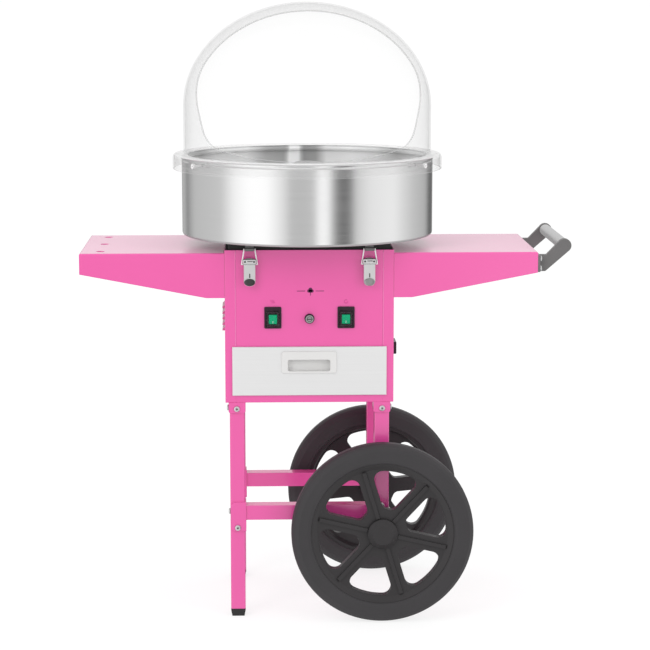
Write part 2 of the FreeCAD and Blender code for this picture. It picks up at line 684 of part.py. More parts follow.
shell = smooth_solid(dome_r, dome_crown).cut(smooth_solid(dome_r - dome_t, dome_crown - dome_t))
parts["dome"] = shell.cut(dome_mouth())
ledge_in = dome_r - 8
bend_r = 8.0
bend = (collar_r - bend_r, ledge_top - bend_r)
parts["dome_collar"] = turned(
    [(ledge_in, rim_z)] + arc_points(*bend, bend_r - collar_t, 90, 0, 6)
    + [(collar_r - collar_t, ledge_top - collar_h), (collar_r, ledge_top - collar_h)]
    + arc_points(*bend, bend_r, 0, 90, 8) + [(ledge_in, ledge_top)])
collar_screw_z = ledge_top - 15.5
clear_screws = []
for k in (34, 146, 214, 326):
    a = math.radians(k)
    out = V(math.cos(a), math.sin(a), 0)
    start = out * (bowl_r + 1.5) + V(0, 0, collar_screw_z)
    shank = rod(start, out, 2.5, collar_r - bowl_r - 1.5)
    head = rod(out * (collar_r - 0.3) + V(0, 0, collar_screw_z), out, 6.0, 3.8)
    clear_screws.append(fuse(shank, head))
    parts["dome_collar"] = parts["dome_collar"].cut(clear_screws[-1])
parts["collar_screws"] = compound(clear_screws)

# ---- controls --------------------------------------------------------------------------------
def switch_parts(cx, name):
    flange = box(cx - 17.3, cx + 17.3, panel_y - 2.5, panel_y, switch_z - 22, switch_z + 22)
    flange = round_edges(flange, 2.5, lambda e: runs_along(e, Y))
    barrel = box(cx - 13, cx + 13, panel_y, panel_y + 27, switch_z - 17, switch_z + 17)
    pivot_z = switch_z - 3.0
    well = box(cx - 9, cx + 9, panel_y - 3, panel_y + 16, pivot_z - 11.5, pivot_z + 11.5)
    pivot_y = panel_y + 4.0
    pivot = V(cx - 11, pivot_y, pivot_z)
    parts["switch_%s_frame" % name] = fuse(flange, barrel).cut(well).cut(
        rod(pivot, X, pin_r + run_gap, 22))
    profile = [(-8, 0), (-6.5, 9.7), (-1, 9.2), (3, 5), (3, -5), (-1, -9.2), (-6.5, -9.7)]
    rocker = prism([(cx - 8.2, pivot_y + y, pivot_z + z) for y, z in profile], V(16.4, 0, 0))
    rocker = round_edges(rocker, 0.8, lambda e: runs_along(e, X) and e.BoundBox.YMax < pivot_y - 5)
    rocker.rotate(V(cx, pivot_y, pivot_z), X, 9)
    parts["switch_%s_rocker" % name] = rocker.fuse(rod(pivot + X, X, pin_r, 20))
    cz = switch_z - 2.5
    cover = box(cx - 13.5, cx + 13.5, panel_y - 12, panel_y - 2.5, cz - 16.3, cz + 16.3)
    cover = round_edges(cover, 3.0, lambda e: e.BoundBox.YMin < panel_y - 2.6)
    hollow = box(cx - 12.3, cx + 12.3, panel_y - 10.8, panel_y - 2.5, cz - 15.1, cz + 15.1)
    parts["switch_%s_cover" % name] = cover.cut(hollow)
    return barrel


case = case.cut(switch_parts(-switch_x, "heat"))
case = case.cut(switch_parts(switch_x, "spin"))

bore = 6.0 + run_gap
barrel = rod(V(0, panel_y, fuse_z), Y, fuse_r - 2, 30)
fuse_body = fuse(rod(V(0, panel_y - 2.5, fuse_z), Y, fuse_r, 2.5), barrel)
case = case.cut(barrel)
parts["fuse_holder"] = fuse_body.cut(rod(V(0, panel_y - 3, fuse_z), Y, bore, 24))
cap_face = panel_y - 2.5 - 0.3
knob = rod(V(0, cap_face - 6.5, fuse_z), Y, 8.2, 6.5)
knob = knob.makeFillet(1.0, [e for e in knob.Edges if e.BoundBox.YMax < cap_face - 6])
knob = knob.fuse(rod(V(0, cap_face, fuse_z), Y, 6.0, 20))
parts["fuse_cap"] = knob.cut(cbox(0, cap_face - 6.5, fuse_z, 12, 3, 1.8))
parts["machine_case"] = case

inlet_z = drawer_low + 83
socket = fuse(
    cbox(half_w + 5.5, inlet_y, inlet_z, 11, 50, 25),
    cbox(half_w - 8, inlet_y, inlet_z, 16, 34, 21))
socket = round_edges(socket, 2.0, lambda e: e.BoundBox.XMin > half_w + 10.9)
parts["cart_side_right"] = parts["cart_side_right"].cut(
    cbox(half_w - 8, inlet_y, inlet_z, 16, 34, 21))
socket = socket.cut(cbox(half_w + 2, inlet_y, inlet_z, 22, 24.5, 16.5))
for dy, dz in ((-7, -1.5), (0, 2.5), (7, -1.5)):
    socket = socket.fuse(cbox(half_w - 3.5, inlet_y + dy, inlet_z + dz, 11, 2, 4))
parts["mains_inlet"] = socket.removeSplitter()

# ---- frame screws ----------------------------------------------------------------------------
for sy in (-1, 1):
    inward = Y * -sy
    for sx in (-1, 1):
        x_face = leg_x + leg / 2
        screw(V(sx * (leg_x + 0.5), sy * (leg_face + socket_t), base_z - 13), inward, 11)
        screw(V(sx * (x_face + socket_t), sy * leg_y, base_z - 13), X * -sx, 11)
        screw(V(sx * x_face, sy * leg_y, bar_top - 14.5), X * -sx, leg + saddle_t + 4)
        z = saddle_low + 7.5 if sx < 0 else saddle_high - 8
        screw(V(sx * leg_x, sy * (leg_face + saddle_t), z), inward, 10)
        for dz in (20, 70):
            screw(V(sx * (half_w + skin), sy * 110, wing_z - dz), X * -sx, 8)
    for dz in (9, 29):
        for dy in (-13.5, 13.5):
            screw(V(end_x + 5, sy * arm_y + dy, arm_low + dz), X * -1, 12)
parts["frame_bolts"] = compound(screws)
cutter = compound(screw_holes)
for name in ("cart_side_left", "cart_side_right", "cart_floor", "leg_front_left",
             "leg_back_left", "leg_front_right", "leg_back_right", "crossbar_front",
             "crossbar_back", "wing_left_skirt", "wing_right", "handle_arm_front",
             "handle_arm_back"):
    parts[name] = parts[name].cut(cutter)

# ---- files -----------------------------------------------------------------------------------
os.makedirs("parts", exist_ok=True)
for name, shape in parts.items():
    shape.translated(SHIFT).exportStep("parts/%s.step" % name)
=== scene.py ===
import bpy
import json
import math
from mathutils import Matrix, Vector


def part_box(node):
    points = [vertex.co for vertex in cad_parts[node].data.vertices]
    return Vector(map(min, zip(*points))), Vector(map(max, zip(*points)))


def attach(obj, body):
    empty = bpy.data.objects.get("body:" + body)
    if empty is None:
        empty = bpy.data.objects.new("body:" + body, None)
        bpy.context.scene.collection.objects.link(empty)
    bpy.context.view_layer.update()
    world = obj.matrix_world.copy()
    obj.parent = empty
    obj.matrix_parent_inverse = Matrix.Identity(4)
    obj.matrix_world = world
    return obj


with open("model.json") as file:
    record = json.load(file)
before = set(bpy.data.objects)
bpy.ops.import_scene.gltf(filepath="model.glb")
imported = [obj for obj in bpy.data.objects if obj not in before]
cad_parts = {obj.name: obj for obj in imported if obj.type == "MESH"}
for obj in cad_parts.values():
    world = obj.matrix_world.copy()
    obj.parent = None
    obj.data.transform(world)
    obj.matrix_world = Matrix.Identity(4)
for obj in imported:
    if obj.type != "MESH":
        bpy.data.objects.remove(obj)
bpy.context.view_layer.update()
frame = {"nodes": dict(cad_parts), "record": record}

NODES = frame["nodes"]
mm = 0.001


# ---- node helpers ----------------------------------------------------------------------------
class Tree:
    """A small wrapper that builds and links shader nodes."""

    def __init__(self, name, world=False):
        self.mat = (bpy.data.worlds if world else bpy.data.materials).new(name)
        self.mat.use_nodes = True
        self.tree = self.mat.node_tree
        self.tree.nodes.clear()
        self.out = self.tree.nodes.new("ShaderNodeOutputWorld" if world
                                       else "ShaderNodeOutputMaterial")

    def add(self, kind, **values):
        node = self.tree.nodes.new("ShaderNode" + kind)
        for key, value in values.items():
            if key in node.inputs:
                self.put(node.inputs[key], value)
            else:
                setattr(node, key, value)
        return node

    def put(self, socket, value):
        if isinstance(value, bpy.types.NodeSocket):
            self.tree.links.new(value, socket)
        else:
            socket.default_value = value

    def coords(self, scale=(1, 1, 1)):
        source = self.add("TexCoord").outputs["Object"]
        mapping = self.add("Mapping")
        self.put(mapping.inputs["Vector"], source)
        self.put(mapping.inputs["Scale"], scale)
        return mapping.outputs["Vector"]

    def noise(self, vector, scale, detail=4.0, rough=0.55):
        node = self.add("TexNoise", Scale=scale, Detail=detail, Roughness=rough)
        self.put(node.inputs["Vector"], vector)
        return node.outputs["Fac"]

    def ramp(self, fac, stops):
        """Grey ramp; each stop is a place and a brightness."""
        node = self.add("ValToRGB")
        self.put(node.inputs["Fac"], fac)
        ramp = node.color_ramp
        while len(ramp.elements) < len(stops):
            ramp.elements.new(0.5)
        for element, (place, value) in zip(ramp.elements, stops):
            element.position = place
            element.color = (value, value, value, 1)
        return node.outputs["Color"]

    def math(self, op, a, b=0.0, c=0.0):
        node = self.add("Math", operation=op)
        for socket, value in zip(node.inputs, (a, b, c)):
            self.put(socket, value)
        return node.outputs["Value"]

    def span(self, fac, low, high):
        node = self.add("MapRange")
        self.put(node.inputs["Value"], fac)
        self.put(node.inputs["To Min"], low)
        self.put(node.inputs["To Max"], high)
        return node.outputs["Result"]

    def mix(self, fac, a, b, mode="MIX"):
        node = self.add("Mix", data_type="RGBA", blend_type=mode)
        self.put(node.inputs[0], fac)
        self.put(node.inputs[6], a)
        self.put(node.inputs[7], b)
        return node.outputs[2]

    def bump(self, height, strength, distance, under=None):
        """Normal roughened by height, over another normal where one is given."""
        node = self.add("Bump", Strength=strength, Distance=distance)
        self.put(node.inputs["Height"], height)
        if under is not None:
            self.put(node.inputs["Normal"], under)
        return node.outputs["Normal"]

    def blend(self, fac, a, b):
        node = self.add("MixShader")
        self.put(node.inputs[0], fac)
        self.tree.links.new(a, node.inputs[1])
        self.tree.links.new(b, node.inputs[2])
        return node.outputs["Shader"]

    def painted_recess_shade(self, tone, reach):
        """tone darkened by ambient occlusion in narrow recesses and joints: painted shade."""
        shade = self.add("AmbientOcclusion", samples=4, Distance=reach).outputs["AO"]
        return self.mix(self.math("POWER", shade, 2.0), grey(0.02), tone)

    def rounded(self, radius):
        return self.add("Bevel", samples=4, Radius=radius).outputs["Normal"]

    def surface(self, **values):
        """Principled shader; keys are socket names with _ for spaces."""
        node = self.add("BsdfPrincipled")
        for key, value in values.items():
            self.put(node.inputs[key.replace("_", " ")], value)
        self.tree.links.new(node.outputs["BSDF"], self.out.inputs["Surface"])
        return node


def grey(v):
    return (v, v, v, 1)


def paint(name, colour, shade, ior=1.5, sheen=0.0):
    """Powder coat: slight cloudiness, fine orange peel, glossy clear top, rounded sheet edges."""
    t = Tree(name)
    where = t.coords()
    cloud = t.noise(where, 9.0, 3.0)
    base = t.mix(t.span(cloud, 0.0, 1.0), colour, shade)
    peel = t.noise(where, 700.0, 2.0, 0.5)
    speck = t.noise(where, 60.0, 3.0)
    skin = t.bump(peel, 0.03, 0.0004, t.rounded(0.0012))
    t.surface(Base_Color=base, Roughness=t.span(speck, 0.40, 0.52), Specular_IOR_Level=0.3,
              Coat_Weight=1.0, Coat_IOR=ior, Coat_Roughness=t.span(speck, 0.13, 0.19),
              Sheen_Weight=sheen, Normal=skin, Coat_Normal=skin)
    return t.mat


def brushed(name, low, high, stretch, rough, grain=0.12, aniso=0.0, metal=1.0):
    """Brushed steel: long fine scratches along one direction."""
    t = Tree(name)
    where = t.coords(scale=stretch)
    line = t.noise(where, 1.0, 6.0, 0.7)
    patch = t.noise(t.coords(), 6.0, 2.0)
    tone = t.mix(t.span(line, 0.0, 1.0), grey(low), grey(high))
    node = t.surface(Base_Color=tone, Metallic=metal,
                     Roughness=t.math("ADD", t.span(line, rough - 0.06, rough + 0.06),
                                      t.span(patch, -0.02, 0.03)),
                     Normal=t.bump(line, grain, 0.0004))
    if aniso:
        t.put(node.inputs["Anisotropic"], aniso)
        t.put(node.inputs["Tangent"], t.add("Tangent", direction_type="RADIAL", axis="Z")
              .outputs["Tangent"])
    return t.mat


def polished(name, tone, rough, metal=1.0):
    """Bright plated metal with faint smears and small pits, and painted shade darkening its recesses."""
    t = Tree(name)
    where = t.coords()
    smear = t.noise(where, 40.0, 3.0)
    pits = t.noise(where, 700.0, 2.0)
    t.surface(Base_Color=t.painted_recess_shade(t.mix(smear, grey(tone), grey(tone * 0.88)), 0.003),
              Metallic=metal, Roughness=t.span(smear, rough, rough + 0.14),
              Normal=t.bump(pits, 0.05, 0.0002))
    return t.mat


def moulded(name, dark, light, rough, grain=450.0, depth=0.12, coat=0.0, shine=0.5):
    """Moulded plastic with a fine spark-eroded texture."""
    t = Tree(name)
    where = t.coords()
    cloud = t.noise(where, 14.0, 3.0)
    cell = t.noise(where, grain, 3.0, 0.6)
    t.surface(Base_Color=t.mix(cloud, dark, light), Roughness=t.span(cell, rough - 0.06, rough + 0.08),
              Coat_Weight=coat, Specular_IOR_Level=shine,
              Normal=t.bump(cell, depth, 0.0005, t.rounded(0.0008)))
    return t.mat


def clear(name, through, grazing, haze, shine, tint=(1, 1, 1, 1), front=1.0):
    """Clear moulded sheet: darker and shinier the more it is seen edge-on, with a faint haze.
    front darkens the half towards -Y: painted shade on the near half of the dome's sheet."""
    t = Tree(name)
    facing = t.add("LayerWeight", Blend=0.5).outputs["Facing"]
    depth = t.math("POWER", facing, 1.8)
    place = t.add("SeparateXYZ")
    t.put(place.inputs[0], t.coords())
    # thick is the mask of that painted shade, strongest on the half towards -Y
    thick = t.math("MULTIPLY_ADD", place.outputs["Y"], -9.0, 0.45)
    thick.node.use_clamp = True
    tone = t.mix(depth, grey(through), grey(grazing))
    tone = t.mix(1.0, t.mix(thick, tint, grey(front)), tone, "MULTIPLY")
    gap = t.add("BsdfTransparent", Color=tone)
    scuff = t.noise(t.coords(), 90.0, 4.0)
    film = t.add("BsdfPrincipled")
    t.put(film.inputs["Base Color"], t.mix(scuff, grey(0.86), grey(0.92)))
    t.put(film.inputs["Roughness"], 0.3)
    gloss = t.add("BsdfGlossy")
    t.put(gloss.inputs["Color"], grey(0.95))
    t.put(gloss.inputs["Roughness"], t.span(scuff, 0.02, 0.06))
    hazy = t.blend(haze, gap.outputs["BSDF"], film.outputs["BSDF"])
    edge = t.math("MULTIPLY_ADD", t.math("POWER", facing, 5.0), shine, 0.006)
    path = t.add("LightPath")
    lit = t.math("MULTIPLY", edge, t.math("SUBTRACT", 1.0, path.outputs["Is Shadow Ray"]))
    whole = t.blend(lit, hazy, gloss.outputs["BSDF"])
    t.tree.links.new(whole, t.out.inputs["Surface"])
    return t.mat


def cut_edge(name, tone, solid):
    """Sawn and polished edge of clear sheet: frosted grey with fine saw lines."""
    t = Tree(name)
    lines = t.noise(t.coords(scale=(1, 1, 12)), 260.0, 3.0)
    body = t.add("BsdfPrincipled")
    t.put(body.inputs["Base Color"], t.mix(lines, grey(tone), grey(tone * 0.85)))
    t.put(body.inputs["Roughness"], 0.25)
    gap = t.add("BsdfTransparent", Color=grey(0.95))
    t.tree.links.new(t.blend(solid, gap.outputs["BSDF"], body.outputs["BSDF"]),
                     t.out.inputs["Surface"])
    return t.mat


PINK = (0.80, 0.076, 0.360, 1)
PINK_SHADE = (0.77, 0.068, 0.340, 1)
MATERIALS = {
    "pink_paint": paint("pink_powder_coat", PINK, PINK_SHADE, 1.9),
    "bowl_steel": brushed("bowl_brushed_steel", 0.84, 0.90, (2, 2, 500), 0.14, 0.03, aniso=0.7),
    "drawer_steel": brushed("drawer_brushed_steel", 0.72, 0.80, (5, 700, 700), 0.42, 0.04, metal=0.3),
    "bright_metal": polished("latch_plated_steel", 0.86, 0.24, 0.85),
    "zinc": polished("zinc_plated_steel", 0.82, 0.22, 0.9),
    "tyre": moulded("tyre_rubber", (0.036, 0.034, 0.036, 1), (0.046, 0.043, 0.046, 1), 0.50,
                    shine=0.34),
    "wheel_plastic": moulded("wheel_moulded_plastic", (0.026, 0.024, 0.025, 1),
                             (0.034, 0.031, 0.033, 1), 0.36, shine=0.36),
    "handle_plastic": moulded("handle_grey_plastic", (0.12, 0.115, 0.115, 1),
                              (0.15, 0.145, 0.145, 1), 0.42),
    "grip": brushed("grip_satin_metal", 0.62, 0.72, (600, 4, 600), 0.38),
    # front=0.965 puts painted shade on the dome's half towards -Y
    "clear_dome": clear("dome_clear_acrylic", 0.999, 0.970, 0.0, 0.14, front=0.965),
    # On the gasket plate under the bowl this black is partly the rubber's own and partly painted shade of
    # the gap under the bowl.
    "black_rubber": moulded("black_rubber", (0.012, 0.012, 0.012, 1), (0.022, 0.022, 0.022, 1), 0.6),
    "black_plastic": moulded("switch_black_plastic", (0.020, 0.008, 0.015, 1),
                             (0.028, 0.012, 0.021, 1), 0.28, coat=0.1, shine=0.3),
    "green_lens": moulded("rocker_green_lens", (0.0, 0.34, 0.15, 1), (0.0, 0.40, 0.18, 1),
                          0.3, shine=0.08),
    "clear_cover": clear("switch_clear_boot", 0.99, 0.60, 0.004, 0.05, tint=(0.80, 0.98, 0.90, 1)),
    "pull_plastic": moulded("pull_satin_plastic", (0.65, 0.645, 0.635, 1), (0.69, 0.685, 0.68, 1), 0.4),
    "motor_paint": paint("motor_dark_enamel", (0.06, 0.065, 0.07, 1), (0.04, 0.045, 0.05, 1)),
    "heater": brushed("heater_ribbon_steel", 0.28, 0.40, (80, 80, 900), 0.35),
    "head_metal": brushed("head_turned_aluminium", 0.50, 0.60, (3, 3, 900), 0.30, 0.03, aniso=0.6),
}
CLEAR_SCREW = clear("clear_screw", 0.9, 0.55, 0.45, 0.6)
COLLAR = clear("collar_clear_acrylic", 0.992, 0.93, 0.045, 0.16)
DOME_EDGE = cut_edge("dome_cut_edge", 0.52, 0.62)
# The collar's bottom face is a cut edge made near white and mostly opaque: a painted highlight along the
# collar's lower edge.
COLLAR_EDGE_PAINTED_HIGHLIGHT = cut_edge("collar_edge_painted_highlight", 0.95, 0.8)
# Darker, less metallic steel for the bowl's downward-facing corner: painted shade under the bowl.
BOWL_UNDERSIDE_PAINTED_SHADE = brushed("bowl_corner_painted_shade", 0.42, 0.52, (2, 2, 500), 0.55, 0.03, metal=0.45)
WIRE = polished("bail_bright_wire", 0.93, 0.30, 0.35)
CAP = polished("fuse_cap_grey_plate", 0.46, 0.26, 0.85)
KEEPER = polished("keeper_grey_steel", 0.22, 0.40, 0.8)
CURL = {
    # The left curl's steel is a much darker copy of the right one's: painted shade.
    "left": polished("curl_painted_shade_steel", 0.10, 0.35),
    "right": polished("curl_steel", 0.45, 0.3),
}
# Near-black pieces: painted shade for the rivet holes, the fuse cap's groove and slot and the line above
# each latch head; also the dark mark on each lever.
DARK_MARK_AND_PAINTED_SHADE = moulded("dark_mark_and_painted_shade", (0.012, 0.011, 0.012, 1), (0.02, 0.018, 0.02, 1), 0.6, shine=0.2)
SHADE = moulded("latch_slot_shade", (0.13, 0.12, 0.125, 1), (0.17, 0.16, 0.165, 1), 0.6, shine=0.2)
# Near-white ring: a painted highlight round each collar screw's head.
GLINT = moulded("screw_painted_highlight_ring", (0.90, 0.90, 0.90, 1), (0.97, 0.97, 0.97, 1), 0.25)
TRAY_TOP = paint("pink_tray_top", PINK, PINK_SHADE, 1.9, sheen=0.5)
FOLD_PAINTED_HIGHLIGHT = paint("pink_fold_highlight", (0.98, 0.22, 0.55, 1), (0.96, 0.20, 0.53, 1), 1.9)
PRINT = moulded("print_plum", (0.10, 0.012, 0.065, 1), (0.13, 0.02, 0.085, 1), 0.5)
FAINT = moulded("print_faint", (0.55, 0.04, 0.24, 1), (0.60, 0.05, 0.27, 1), 0.5)
MARK = moulded("rocker_mark_pale", (0.55, 0.85, 0.72, 1), (0.65, 0.9, 0.8, 1), 0.4)

for part in frame["record"]["subparts"]:
    obj = NODES[part["node"]]
    obj.data.materials.clear()
    obj.data.materials.append(MATERIALS[part["material_slot"]])

NODES["collar_screws"].data.materials[0] = CLEAR_SCREW
NODES["dome_collar"].data.materials[0] = COLLAR


def edge_faces(node, material, chosen):
    """Gives the faces that chosen(normal, centre) picks their own finish."""
    mesh = NODES[node].data
    mesh.materials.append(material)
    for face in mesh.polygons:
        if chosen(face.normal, face.center):
            face.material_index = len(mesh.materials) - 1


bowl_low, bowl_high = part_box("bowl")
AXIS_X = (bowl_low.x + bowl_high.x) / 2
FOOT_Z = bowl_low.z + 20 * mm          # the bowl's bent corner and floor are below this
dome_low, dome_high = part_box("dome")
DOME_R = (dome_high.x - dome_low.x) / 2
CROWN_H = 0.832 * DOME_R               # the crown is a flattened half ball
CROWN_Z = dome_high.z - CROWN_H


def is_mouth_cut(normal, centre):
    """True where a face lies across the dome's wall instead of along it."""
    rise = max(0.0, centre.z - CROWN_Z) * (DOME_R / CROWN_H) ** 2
    along = Vector((centre.x - AXIS_X, centre.y, rise)).normalized()
    return normal.y < -0.1 and abs(normal.x) < 0.05 and abs(normal.dot(along)) < 0.9


edge_faces("dome", DOME_EDGE, is_mouth_cut)
# Painted highlight on the collar's bottom face.
edge_faces("dome_collar", COLLAR_EDGE_PAINTED_HIGHLIGHT, lambda n, c: n.z < -0.9)


def pan_inside():
    """Inside of the bowl: spun steel whose colour carries painted reflections, broad light and dark
    stripes round the wall.
    """
    t = Tree("bowl_inside_painted_reflections")
    place = t.add("SeparateXYZ")
    t.put(place.inputs[0], t.coords())
    across = t.math("SUBTRACT", place.outputs["X"], AXIS_X)
    round_wall = t.math("MULTIPLY_ADD", t.math("ARCTAN2", across, place.outputs["Y"]),
                        0.5 / math.pi, 0.5)
    waver = t.math("MULTIPLY", t.math("SUBTRACT", t.noise(t.coords(), 5.0, 2.0), 0.5), 0.01)
    painted_reflection_bands = t.ramp(t.math("ADD", round_wall, waver),
                   [(a / 360 + 0.5, v) for a, v in
                    ((-180, 0.85), (-90, 0.80), (-62, 0.50), (-48, 0.88), (-30, 0.90), (-19, 0.42),
                     (-8.8, 0.36), (-7.3, 0.99), (-2.4, 0.99), (-1.0, 0.27), (6, 0.32), (11, 0.80),
                     (24, 0.92), (38, 0.80), (50, 0.48), (64, 0.82), (90, 0.80), (180, 0.85))])
    line = t.noise(t.coords(scale=(2, 2, 500)), 1.0, 6.0, 0.7)
    t.surface(Base_Color=t.mix(0.12, painted_reflection_bands, t.mix(line, grey(0.50), grey(0.90))), Metallic=0.15,
              Roughness=t.span(line, 0.30, 0.42), Normal=t.bump(line, 0.03, 0.0004))
    return t.mat


def is_inside(normal, centre):
    """True on the inner side of the bowl's wall and on the top of its floor."""
    out = Vector((centre.x - AXIS_X, centre.y, 0)).normalized()
    return normal.dot(out) < -0.3 or (normal.z > 0.5 and centre.z < FOOT_Z)


# The inner wall and floor get painted reflections: light and dark stripes set by the angle round the
# bowl.
edge_faces("bowl", pan_inside(), is_inside)
# Painted shade on the faces of the bowl's corner that point down.
edge_faces("bowl", BOWL_UNDERSIDE_PAINTED_SHADE, lambda n, c: n.z < -0.25 and c.z < FOOT_Z)

BAIL_WIRE = 3.5 * mm
KEEPER_HALF = 9 * mm
for part in ("latch_left_bail", "latch_right_bail"):
    NODES[part].data.materials[0] = WIRE
    bail_low, bail_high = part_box(part)
    bail_x = (bail_low.x + bail_high.x) / 2
    edge_faces(part, KEEPER,
               lambda n, c: c.z > bail_high.z - BAIL_WIRE and abs(c.x - bail_x) < KEEPER_HALF)
NODES["bowl_keepers"].data.materials[0] = KEEPER
NODES["fuse_cap"].data.materials[0] = CAP
for part in ("wing_left", "wing_right"):
    edge_faces(part, TRAY_TOP, lambda n, c: n.z > 0.9)

# The bowl in the photograph mirrors neither the shelves nor the handle, nor their screws.
for part in ("wing_left", "wing_left_skirt", "wing_right", "handle_arm_front", "handle_arm_back",
             "handle_grip", "frame_bolts"):
    NODES[part].visible_glossy = False


# ---- small pieces ----------------------------------------------------------------------------
def finish(obj, name, material, body, smooth=True):
    """Names a new piece, gives it its material and ties it to its body."""
    obj.name = obj.data.name = name
    obj.data.materials.clear()
    obj.data.materials.append(material)
    if smooth:
        obj.data.shade_smooth()
    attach(obj, body)
    return obj


def block(name, centre, size, material, body, bevel=0.0004):
    bpy.ops.mesh.primitive_cube_add(size=1, location=centre)
    obj = bpy.context.object
    obj.scale = size
    bpy.ops.object.transform_apply(location=True, rotation=True, scale=True)
    edge = obj.modifiers.new("edge", "BEVEL")
    edge.width, edge.segments = bevel, 3
    return finish(obj, name, material, body, smooth=False)


def disc(name, centre, radius, thick, material, body, bevel=0.0003):
    """Round plate that faces the front."""
    bpy.ops.mesh.primitive_cylinder_add(radius=radius, depth=thick, location=centre, vertices=48,
                                        rotation=(math.pi / 2, 0, 0))
    obj = bpy.context.object
    bpy.ops.object.transform_apply(location=True, rotation=True, scale=True)
    edge = obj.modifiers.new("edge", "BEVEL")
    edge.width, edge.segments, edge.limit_method = bevel, 3, "ANGLE"
    return finish(obj, name, material, body, smooth=False)


def hoop(name, centre, radius, wire, material, body, flat=1.0, arc=360.0, start=0.0, turn=0.0):
    """Ring or arc standing in the XZ plane, then turned about Z."""
    curve = bpy.data.curves.new(name, "CURVE")
    curve.dimensions = "3D"
    curve.bevel_depth, curve.bevel_resolution = wire, 4
    spline = curve.splines.new("POLY")
    count = max(8, int(arc / 7.5))
    spline.points.add(count - 1 if arc >= 360 else count)
    for k, point in enumerate(spline.points):
        a = math.radians(start + arc * k / count)
        point.co = (radius * math.cos(a), 0, radius * math.sin(a), 1)
    spline.use_cyclic_u = arc >= 360
    obj = bpy.data.objects.new(name, curve)
    bpy.context.scene.collection.objects.link(obj)
    bpy.context.view_layer.objects.active = obj
    bpy.ops.object.select_all(action="DESELECT")
    obj.select_set(True)
    bpy.ops.object.convert(target="MESH")
    obj = bpy.context.object
    obj.scale = (1, flat, 1)
    obj.rotation_euler = (0, 0, turn)
    obj.location = centre
    bpy.ops.object.transform_apply(location=True, rotation=True, scale=True)
    return finish(obj, name, material, body)


def middle(node):
    """Centre and two corners of a node's box."""
    low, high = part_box(node)
    return (low + high) / 2, low, high


panel_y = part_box("machine_case")[0].y

# The latches: a folded head with its slot and rivets, a mark and a rolled lower end; the near-black strip
# above the head is a painted shadow, and the slot and rivet holes are painted shade.
for side in ("left", "right"):
    mid, low, high = middle("latch_%s_lever" % side)
    body = "lever_%s" % side
    face = low.y
    block("latch_%s_head" % side, (mid.x, face - 0.6 * mm, high.z - 4.6 * mm),
          (25.4 * mm, 1.6 * mm, 9.2 * mm), MATERIALS["bright_metal"], body, 0.5 * mm)
    block("latch_%s_head_shadow" % side, (mid.x, face - 0.9 * mm, high.z + 0.5 * mm),
          (25 * mm, 1.0 * mm, 1.3 * mm), DARK_MARK_AND_PAINTED_SHADE, body, 0.2 * mm)
    block("latch_%s_head_slot" % side, (mid.x + 1.0 * mm, face - 1.3 * mm, high.z - 3.6 * mm),
          (10.5 * mm, 0.5 * mm, 1.8 * mm), SHADE, body, 0.2 * mm)
    block("latch_%s_mark" % side, (mid.x + 0.3 * mm, face - 0.1 * mm, high.z - 33 * mm),
          (1.7 * mm, 0.4 * mm, 8.0 * mm), DARK_MARK_AND_PAINTED_SHADE, body, 0.15 * mm)
    for k in (-1, 1):
        disc("latch_%s_rivet_%s" % (side, "a" if k < 0 else "b"),
             (mid.x + k * 9.0 * mm, face - 1.4 * mm, high.z - 4.6 * mm), 1.8 * mm, 0.5 * mm,
             DARK_MARK_AND_PAINTED_SHADE, body)
    bpy.ops.mesh.primitive_uv_sphere_add(radius=1, segments=32, ring_count=16,
                                         location=(mid.x, face, low.z + 7.6 * mm))
    curl = bpy.context.object
    curl.scale = (11.0 * mm, 2.6 * mm, 7.2 * mm)
    bpy.ops.object.transform_apply(location=True, rotation=True, scale=True)
    finish(curl, "latch_%s_curl" % side, CURL[side], body)

# On and off signs on the rockers, and the faint signs above the switches.
for name in ("heat", "spin"):
    mid, low, _ = middle("switch_%s_rocker" % name)
    body = "rocker_%s" % name
    block("rocker_%s_on" % name, (mid.x, low.y + 0.55 * mm, mid.z - 5.2 * mm),
          (1.1 * mm, 0.5 * mm, 4.4 * mm), MARK, body, 0.1 * mm)
    hoop("rocker_%s_off" % name, (mid.x, low.y + 2.6 * mm, mid.z + 4.8 * mm), 1.7 * mm, 0.35 * mm,
         MARK, body)
    frame_mid, _, frame_high = middle("switch_%s_frame" % name)
    icon_z = frame_high.z + 10.3 * mm
    if name == "heat":
        for k in (-1, 0, 1):
            x = frame_mid.x + k * 2.6 * mm
            hoop("icon_heat_low_%d" % (k + 1), (x, panel_y - 0.1 * mm, icon_z - 1.5 * mm),
                 1.5 * mm, 0.34 * mm, FAINT, "cart", 0.5, 180, -90)
            hoop("icon_heat_high_%d" % (k + 1), (x, panel_y - 0.1 * mm, icon_z + 1.5 * mm),
                 1.5 * mm, 0.34 * mm, FAINT, "cart", 0.5, 180, 90)
    else:
        hoop("icon_turn", (frame_mid.x, panel_y - 0.1 * mm, icon_z), 3.4 * mm, 0.6 * mm, FAINT,
             "cart", 0.5, 310, 60)

# Black rim, turned groove and driver slot of the fuse cap; the groove and slot are raised dark pieces,
# painted shade of recesses.
knob_mid, knob_low, _ = middle("fuse_cap")
hoop("fuse_cap_rim", (knob_mid.x, knob_low.y + 1.0 * mm, knob_mid.z), 8.5 * mm, 0.75 * mm,
     MATERIALS["black_plastic"], "fuse_cap", 0.8)
hoop("fuse_cap_groove", (knob_mid.x, knob_low.y + 0.1 * mm, knob_mid.z), 5.0 * mm, 0.55 * mm, DARK_MARK_AND_PAINTED_SHADE,
     "fuse_cap", 0.5)
block("fuse_cap_slot", (knob_mid.x, knob_low.y + 0.5 * mm, knob_mid.z), (8.0 * mm, 0.9 * mm, 1.5 * mm),
      DARK_MARK_AND_PAINTED_SHADE, "fuse_cap", 0.1 * mm)

